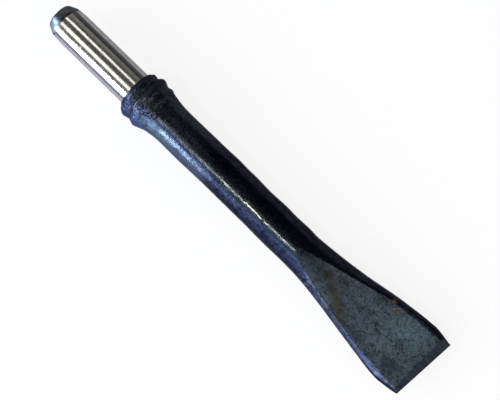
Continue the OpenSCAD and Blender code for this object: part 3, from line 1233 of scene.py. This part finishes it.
# Pale colour of the painted highlight and glints on rubbed steel.
RUBBED_GLINT = rgb(0.215, 0.230, 0.205)
RUST_PALE, RUST_DEEP = rgb(0.17, 0.12, 0.020), rgb(0.019, 0.013, 0.006)
VIOLET_FROM, VIOLET_TO = 72.0, 160.0
# Where the painted lit side starts, across Y; the struck end's painted highlight uses it too.
LIT_SIDE = ("Y", -3.0, 0.5, 1.0, 0.0)
SCALE_BANDS = {
    # what changes there: axis, first and last place in mm, value before and after
    "lit side": LIT_SIDE,
    "dull end": ("X", 46.0, 74.0, 1.0, 0.0),
    "dusty sheen top": ("Y", 9.0, -2.0, 0.35, 1.0),
    "hazy top": ("Y", 5.0, 0.5, 0.0, 1.0),
    "cyan starts": ("X", 10.0, 22.0, 0.0, 1.0),
    "cyan fades": ("X", 32.0, 50.0, 1.0, 0.18),
    "cyan low": ("Y", -6.4, -3.4, 1.0, 0.2),
    "calm starts": ("X", 18.0, 28.0, 0.0, 0.62),
    "calm ends": ("X", 66.0, 84.0, 1.0, 0.0),
    "deep low": ("Y", -12.2, -10.0, 1.0, 0.0),
    "violet collar": ("X", 10.0, 17.0, 0.4, 0.0),
    "cyan seam": ("Y", -6.0, -3.6, 0.0, 1.0),
    # Painted shade: where the blade's sides are darkened low down.
    "painted shade low": ("Z", 2.2, 3.2, 1.0, 0.0),
    "wide blade": ("X", 203.0, 214.0, 0.0, 1.0),
}

# %% [markdown]
# A skin is built up like coats of paint: one colour first, then each further colour
# blended over it by a share from 0 to 1. Shares are multiplied where all their causes
# have to hold at once, and added where each cause is enough by itself.

# %% Skin of the dark side and the painted lit side


def dark_skin(tree, place, band, mottle):
    """Nearly black, with dusty grey by the collar that is partly a painted sheen, thickest on the top and
    growing towards the lit -Y side, and a faint grey haze further on.
    """
    slant = minus(tree, place["X"], times(tree, place["Y"], 1.5))
    past_corner = remap(tree, slant, -10.0 * MM, 8.0 * MM, 0.35, 1.0)
    # Dusty grey with a painted sheen, growing from the +Y side towards the lit side.
    dusty_sheen = times(tree, band["dull end"], band["dusty sheen top"], past_corner, mottle["Grain"], 0.75)
    haze = times(tree, band["hazy top"], minus(tree, 1.0, band["dull end"]), mottle["Grain"], 0.60)
    black = blend(tree, mottle["Patches"], *SKIN_BLACK)
    return blend(tree, plus(tree, dusty_sheen, haze, clamp=True), black, SKIN_DUSTY_SHEEN)


def lit_side_skin(tree, place, band, mottle):
    """The painted lit side: blue where the window lamps fall, a painted cyan highlight past the collar, a
    painted deep blue reflection low down near the collar, darker violet along the bar's middle and a little
    on the collar, where the painted sheen is kept faint, and a little painted cyan along the seam near the
    top there. The line between the colours wanders with the clouds."""
    cloudy = remap(tree, weigh(tree, mottle, {"Patches": 0.55, "Grain": 0.45}), 0.08, 0.92)
    # Painted highlight: cyan past the collar, fading along the bar and low down.
    cyan = times(tree, band["cyan starts"], band["cyan fades"], band["cyan low"], band["dull end"])
    calm = times(tree, band["calm starts"], band["calm ends"])
    share = plus(tree, calm, times(tree, minus(tree, 1.0, calm), cloudy))
    blue = blend(tree, share, SKIN_BLUE[0], blend(tree, cyan, SKIN_BLUE[1], SKIN_CYAN_HIGHLIGHT))
    # Painted reflection: deep blue along the low edge near the collar.
    blue = blend(tree, times(tree, band["deep low"], band["dull end"]), blue, SKIN_DEEP_REFLECTION)
    wander = plus(tree, place["X"], times(tree, minus(tree, cloudy, 0.5), 12.0 * MM))
    violet = times(tree, remap(tree, wander, (VIOLET_FROM - 5) * MM, (VIOLET_FROM + 5) * MM),
                   remap(tree, wander, (VIOLET_TO - 8) * MM, (VIOLET_TO + 8) * MM, 1.0, 0.0))
    deep = calc(tree, "MAXIMUM", violet, band["violet collar"])
    blue = blend(tree, deep, blue, blend(tree, cloudy, *SKIN_VIOLET))
    # Painted highlight: a little cyan along the seam near the top, over the violet.
    return blend(tree, times(tree, band["cyan seam"], violet, 0.22), blue, SKIN_CYAN_HIGHLIGHT)


# %% Slate and rust


def slate_colour(tree, mottle, lines, pale):
    """The beaten face: dark to pale by grain and speckle, clouds from the mesh, and violet patches."""
    grain = weigh(tree, mottle, {"Grain": 0.64, "Patches": 0.36, "Speckle": 0.50}, -0.25, clamp=True)
    net = times(tree, lines, weigh(tree, mottle, {"Patches": 0.50}, 0.22))
    colour = blend(tree, net, blend(tree, grain, *SLATE), SLATE_LINE)
    colour = blend(tree, times(tree, remap(tree, mottle["Patches"], 0.7, 1.0), 0.35), colour, SLATE_VIOLET)
    lighter = times(tree, calc(tree, "MAXIMUM", pale, 0.0), plus(tree, grain, 0.15), clamp=True)
    deeper = times(tree, calc(tree, "MAXIMUM", times(tree, pale, -1.0), 0.0), 0.7, clamp=True)
    return blend(tree, deeper, blend(tree, lighter, colour, SLATE_PALE), SLATE_DEEP)


def add_rust(tree, colour, mottle, rust):
    """Brown where the mesh says, its outline broken up by the noises, and orange where it is strongest."""
    ragged = weigh(tree, mottle, {"Grain": 1.2, "Speckle": 0.7, "Patches": 1.3}, -0.70)
    rusty = times(tree, rust, ragged, clamp=True)
    orange = times(tree, mottle["Speckle"], remap(tree, rust, 0.80, 1.3, 0.10, 1.0))
    return blend(tree, rusty, colour, blend(tree, orange, RUST_DEEP, RUST_PALE)), rusty


# %% [markdown]
# Collar, bar and blade share one recipe. They differ in how coarse the scale is, how deep
# its bumps are and how dull it looks, so these are what the recipe is given.

# %% Forge scale
SCALE_METALLIC = 0.9


def scale_finish(name, patch_scale, depth, rough_low, rough_high, rough_blue):
    """Scale on metal: black on the +Y side and the painted lit side on the -Y side, slate on the faces, and
    painted highlights on rubbed places and rust where the mesh says.
    """
    material, tree, shader, here = start_finish(name, SCALE_METALLIC)
    place, band = bands_along(tree, here, SCALE_BANDS)
    mottle = use_group(tree, mottle_group, {"Vector": here, "Patch Scale": patch_scale, "Grain Scale": 760.0})
    lines = use_group(tree, wrinkle_group, {"Vector": here, "Scale": 330.0})["Lines"]
    face, rubbed_glint, rust, pale = (
        add_node(tree, "ShaderNodeAttribute", {"attribute_name": label}).outputs["Fac"] for label in masks)
    lit_side = band["lit side"]
    # Painted lit side: the -Y half takes the blue skin and the +Y half the black one.
    skin = blend(tree, lit_side, dark_skin(tree, place, band, mottle), lit_side_skin(tree, place, band, mottle))
    # Painted shade: past 203 to 214 mm along the blade, the sides below about 2 mm above the axis are
    # darkened to deep slate.
    skin = blend(tree, times(tree, band["painted shade low"], band["wide blade"]), skin, SLATE_DEEP)
    colour = blend(tree, face, skin, slate_colour(tree, mottle, lines, pale))
    # Painted highlight and glints: the pale colour where the mesh's share says, before the rust.
    colour, rusty = add_rust(tree, blend(tree, rubbed_glint, colour, RUBBED_GLINT), mottle, rust)
    rough = remap(tree, mottle["Grain"], 0.0, 1.0, rough_low, rough_high)
    rough = plus(
        tree, rough, times(tree, lit_side, rough_blue),
        times(tree, band["dull end"], minus(tree, 1.0, lit_side), 0.07), times(tree, face, 0.12),
        times(tree, rubbed_glint, -0.16), times(tree, rusty, 0.35))
    tree.links.new(remap(tree, rusty, 0.0, 1.0, SCALE_METALLIC, 0.1), shader.inputs["Metallic"])
    height = plus(tree, weigh(tree, mottle, {"Grain": 0.45, "Patches": 1.0}), times(tree, lines, face, 0.5))
    finish_with(tree, shader, colour, rough, height, depth)
    return material


SCALES = {
    # slot: scale of the patches, depth of the bump in mm, roughness low and high, what the lit -Y side adds
    # to it
    "collar_scale": (260.0, 0.036, 0.20, 0.34, 0.0),
    "bar_scale": (300.0, 0.019, 0.19, 0.30, -0.02),
    "blade_scale": (210.0, 0.032, 0.24, 0.36, 0.06),
}
finishes = {slot: scale_finish(slot + "_finish", *values) for slot, values in SCALES.items()}
print("scale finishes:", list(finishes))

# %% [markdown]
# The ground shank is bare steel. The wheel ran round it, so its lines go round, and they stretch every
# reflection along the axis. Painted reflections lie along both its sides: a dark band on the +Y side and a
# violet line on the -Y side. The unground skin of the struck end reaches a little way onto it, with its
# painted blue highlight.

# %% The struck end's skin
END_DARK = (rgb(0.030, 0.035, 0.038), rgb(0.058, 0.066, 0.070))
# Painted highlight: the pale blue stands in for the window lamps' light on the struck end's -Y side.
END_BLUE_HIGHLIGHT = (rgb(0.20, 0.28, 0.40), rgb(0.38, 0.48, 0.62))
END_BANDS = {
    "lit side": LIT_SIDE,
    "dark low": ("Y", -9.8, -8.2, 0.12, 1.0),
    "dark rim": ("X", -69.6, -66.6, 0.2, 1.0),
}


def make_end_skin_group():
    """Grey-black above and a painted pale blue highlight on the -Y side, both mottled, and darker at the rim
    and along the bottom edge, where the highlight fades.
    """
    group, start, end = new_group("end_skin", {"Vector": (0.0, 0.0, 0.0)}, {"Color": list})
    here = start.outputs["Vector"]
    mottle = use_group(group, mottle_group, {"Vector": here, "Patch Scale": 300.0, "Grain Scale": 1300.0})
    _, band = bands_along(group, here, END_BANDS)
    dark, blue = (blend(group, mottle["Patches"], *colours) for colours in (END_DARK, END_BLUE_HIGHLIGHT))
    group.links.new(blend(group, times(group, *band.values()), dark, blue), end.inputs["Color"])
    return group


end_skin_group = make_end_skin_group()
print("one more shared effect:", end_skin_group.name)

# %% Ground steel
STEEL = (rgb(0.56, 0.54, 0.50), rgb(0.68, 0.66, 0.63))
# Painted reflections on the shank: a dark band along the +Y side and a violet line along the -Y side.
PAINTED_DARK_BAND, PAINTED_VIOLET_LINE = rgb(0.022, 0.021, 0.028), rgb(0.11, 0.13, 0.27)
SHANK_BANDS = {
    "painted dark band": ("Y", 7.6, 8.6, 0.0, 1.0),
    "painted dark band thins": ("Y", 10.0, 10.8, 0.0, -0.40),
    "painted violet line": ("Y", -7.7, -6.8, 1.0, 0.0),
    "painted violet line thins": ("Y", -9.6, -8.4, -0.72, 0.0),
}
STAIN = rgb(0.30, 0.29, 0.20)
# centre and size in mm
STAINS = [((-42.5, -3.4, 11.5), 1.0), ((-31.0, 5.0, 10.9), 0.9), ((-12.0, -6.5, 10.1), 0.7)]
# where the grinding starts on the shank's top, how much further at its sides, and the line's blur
UNGROUND_TO, UNGROUND_SAG, UNGROUND_FADE = -62.5, 1.6, 0.25
GROUND_BUMP, SATIN_BUMP = 0.007, 0.02


def unground_share(tree, place):
    """1 before the line where the grinding starts, which lies further along at the shank's two sides."""
    side = calc(tree, "DIVIDE", calc(tree, "ABSOLUTE", place["Z"]), SHANK_R * MM)
    line = plus(tree, times(tree, minus(tree, 1.0, side), UNGROUND_SAG * MM), UNGROUND_TO * MM)
    past = minus(tree, place["X"], line)
    return remap(tree, past, -UNGROUND_FADE * MM, UNGROUND_FADE * MM, 1.0, 0.0)


def ground_finish():
    """Bright steel with fine lines round the axis: stretched noise drives the bump and the roughness."""
    material, tree, shader, here = start_finish("ground_steel_finish", 1.0, SHANK_EDGE_TINT)
    place, band = bands_along(tree, here, SHANK_BANDS)
    lines = use_group(tree, line_group, {"Vector": here, "Stretch": (1.0, 0.004, 0.004), "Scale": 2600.0})
    colour = blend(tree, lines["Streaks"], *STEEL)
    # Painted reflections: the dark band on the +Y side and the violet line on the -Y side, each thinning
    # further out.
    for painted_band, strength, tint in (("painted dark band", 0.95, PAINTED_DARK_BAND), ("painted violet line", 0.92, PAINTED_VIOLET_LINE)):
        share = times(tree, plus(tree, band[painted_band], band[painted_band + " thins"]), strength)
        colour = blend(tree, share, colour, tint)
    rough = remap(tree, lines["Lines"], 0.3, 0.7, 0.12, 0.24)
    for centre, size in STAINS:
        inputs = {"Vector": here, "Centre": tuple(v * MM for v in centre), "Size": size * MM, "Ragged": 0.6}
        spot = use_group(tree, spot_group, inputs)["Mask"]
        colour = blend(tree, times(tree, spot, 0.5), colour, STAIN)
        rough = plus(tree, rough, times(tree, spot, 0.15))
    skin = unground_share(tree, place)
    colour = blend(tree, skin, colour, use_group(tree, end_skin_group, {"Vector": here})["Color"])
    rough = plus(tree, rough, times(tree, skin, 0.10))
    finish_with(tree, shader, colour, rough, lines["Lines"], GROUND_BUMP)
    return material


# %% [markdown]
# The struck end keeps its dark satin skin, with a painted blue highlight on its -Y side. The bevel was
# ground, and its fine lines run along the bit over a thin navy skin. Both are short recipes from the effects
# above.

# %% The dark end and the bevel
BEVEL_STEEL = (rgb(0.016, 0.020, 0.031), rgb(0.038, 0.044, 0.060))


def dark_end_finish():
    """The struck end: its skin left satin, with a little mottle and the painted blue highlight on its -Y
    side.
    """
    material, tree, shader, here = start_finish("dark_end_finish", SCALE_METALLIC)
    mottle = use_group(tree, mottle_group, {"Vector": here, "Patch Scale": 260.0, "Grain Scale": 1600.0})
    colour = use_group(tree, end_skin_group, {"Vector": here})["Color"]
    rough = remap(tree, mottle["Grain"], 0.0, 1.0, 0.22, 0.34)
    finish_with(tree, shader, colour, rough, mottle["Grain"], SATIN_BUMP)
    return material


def bevel_finish():
    """Dark steel, ground across: fine lines along the bit over a navy skin."""
    material, tree, shader, here = start_finish("edge_steel_finish", SCALE_METALLIC)
    lines = use_group(tree, line_group, {"Vector": here, "Stretch": (0.03, 1.0, 0.03), "Scale": 2200.0})
    colour = blend(tree, lines["Streaks"], *BEVEL_STEEL)
    rough = remap(tree, lines["Lines"], 0.3, 0.7, 0.34, 0.50)
    finish_with(tree, shader, colour, rough, lines["Lines"], SATIN_BUMP)
    return material


finishes["ground_steel"] = ground_finish()
finishes["dark_end"] = dark_end_finish()
finishes["edge_steel"] = bevel_finish()
print("all finishes:", len(finishes))

# %% [markdown]
# ## Dress the model
#
# Each piece stands for the CAD node of its own name, which is then hidden, and takes its
# finish from the slot that the record names.

# %% Finishes to pieces
SLOTS = {
    "striking_end": "dark_end",
    "ground_shank": "ground_steel",
    "collar_seat": "collar_scale",
    "collar_lip": "collar_scale",
    "collar_ring": "collar_scale",
    "collar_shoulder": "collar_scale",
    "flared_neck": "bar_scale",
    "forged_shaft": "bar_scale",
    "blade_root": "blade_scale",
    "spade_blade": "blade_scale",
    "cutting_bevel": "edge_steel",
}

for name, slot in SLOTS.items():
    piece = pieces[name]
    piece.name = "bit_" + name
    piece.data.materials.append(finishes[slot])
    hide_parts(name)
